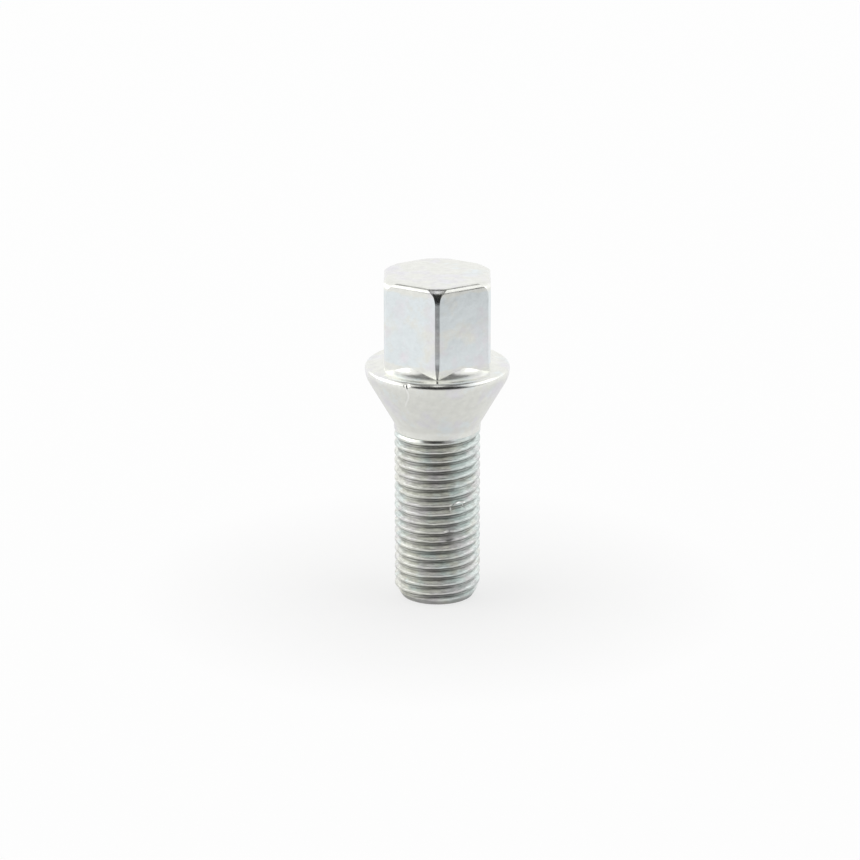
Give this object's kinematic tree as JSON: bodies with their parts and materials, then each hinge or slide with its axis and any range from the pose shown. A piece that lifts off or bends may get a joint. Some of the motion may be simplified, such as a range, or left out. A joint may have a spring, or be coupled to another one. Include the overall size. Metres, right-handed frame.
{
  "type": "wheel bolt",
  "caption": "Zinc-plated steel wheel bolt with a plain hexagon head, a round collar, a conical seat and a fine right-hand thread.",
  "frame": {"origin": "centre of the flat end of the thread, on the surface that the bolt stands on", "axes": "+Z along the bolt's axis, from the threaded end to the head; two flats of the hexagon face +X and -X"},
  "size_m": [0.0232, 0.0232, 0.0541],
  "materials": {
    "zinc_plate": "bright zinc plating over forged and rolled steel, slightly mottled, satin"
  },
  "bodies": {
    "root": {"wheel_bolt": "zinc_plate"}
  },
  "joints": []
}
